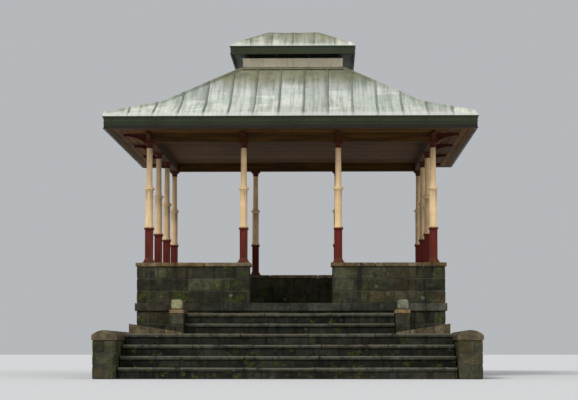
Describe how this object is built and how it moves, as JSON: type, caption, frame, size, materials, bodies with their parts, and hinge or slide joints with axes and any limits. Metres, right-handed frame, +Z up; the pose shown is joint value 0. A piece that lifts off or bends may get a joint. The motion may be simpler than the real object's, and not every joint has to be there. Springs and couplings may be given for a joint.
{
  "type": "bandstand",
  "caption": "Square park bandstand with a stone base and stair, slender iron columns and a flared hipped copper roof with a louvred lantern.",
  "frame": {"origin": "middle of the pavilion's square plan, on the ground at the foot of the stair", "axes": "+Z up, +X to the right seen from the front, the stair comes up from -Y"},
  "size_m": [7.148, 9.549, 7.1615],
  "materials": {
    "wall_stone": "matt",
    "step_stone": "matt",
    "coping_stone": "matt",
    "cream_iron": "satin",
    "maroon_iron": "satin",
    "brown_timber": "matt",
    "brown_boarding": "matt",
    "patina_copper": "matt",
    "green_paint": "satin",
    "pale_paint": "satin",
    "dark_louvre": "matt"
  },
  "bodies": {
    "root": {"base_podium": "wall_stone", "beam_back": "brown_timber", "beam_front": "brown_timber", "beam_left": "brown_timber", "beam_right": "brown_timber", "ceiling_deck": "brown_boarding", "cheek_cap_stones": "coping_stone", "cheek_wall_left": "wall_stone", "cheek_wall_right": "wall_stone", "column_01": "cream_iron", "column_02": "cream_iron", "column_03": "cream_iron", "column_04": "cream_iron", "column_05": "cream_iron", "column_06": "cream_iron", "column_07": "cream_iron", "column_08": "cream_iron", "column_09": "cream_iron", "column_10": "cream_iron", "column_11": "cream_iron", "column_12": "cream_iron", "coping_back": "coping_stone", "coping_front": "coping_stone", "coping_left": "coping_stone", "coping_right": "coping_stone", "dwarf_wall_back": "wall_stone", "dwarf_wall_front_left": "wall_stone", "dwarf_wall_front_right": "wall_stone", "dwarf_wall_left": "wall_stone", "dwarf_wall_right": "wall_stone", "eaves_consoles": "maroon_iron", "eaves_fascia_back": "green_paint", "eaves_fascia_front": "green_paint", "eaves_fascia_left": "green_paint", "eaves_fascia_right": "green_paint", "floor_slab": "step_stone", "hip_rolls": "patina_copper", "landing_slab": "step_stone", "lantern_curb": "pale_paint", "lantern_fascia": "green_paint", "lantern_louvres": "dark_louvre", "lantern_roof": "patina_copper", "lantern_soffit": "green_paint", "lower_stair_core": "wall_stone", "lower_tread_1": "step_stone", "lower_tread_2": "step_stone", "lower_tread_3": "step_stone", "roof_slope_back": "patina_copper", "roof_slope_front": "patina_copper", "roof_slope_left": "patina_copper", "roof_slope_right": "patina_copper", "stair_side_wall_left": "wall_stone", "stair_side_wall_right": "wall_stone", "upper_stair_core": "wall_stone", "upper_tread_1": "step_stone", "upper_tread_2": "step_stone", "wing_kerbs": "coping_stone"}
  },
  "joints": []
}
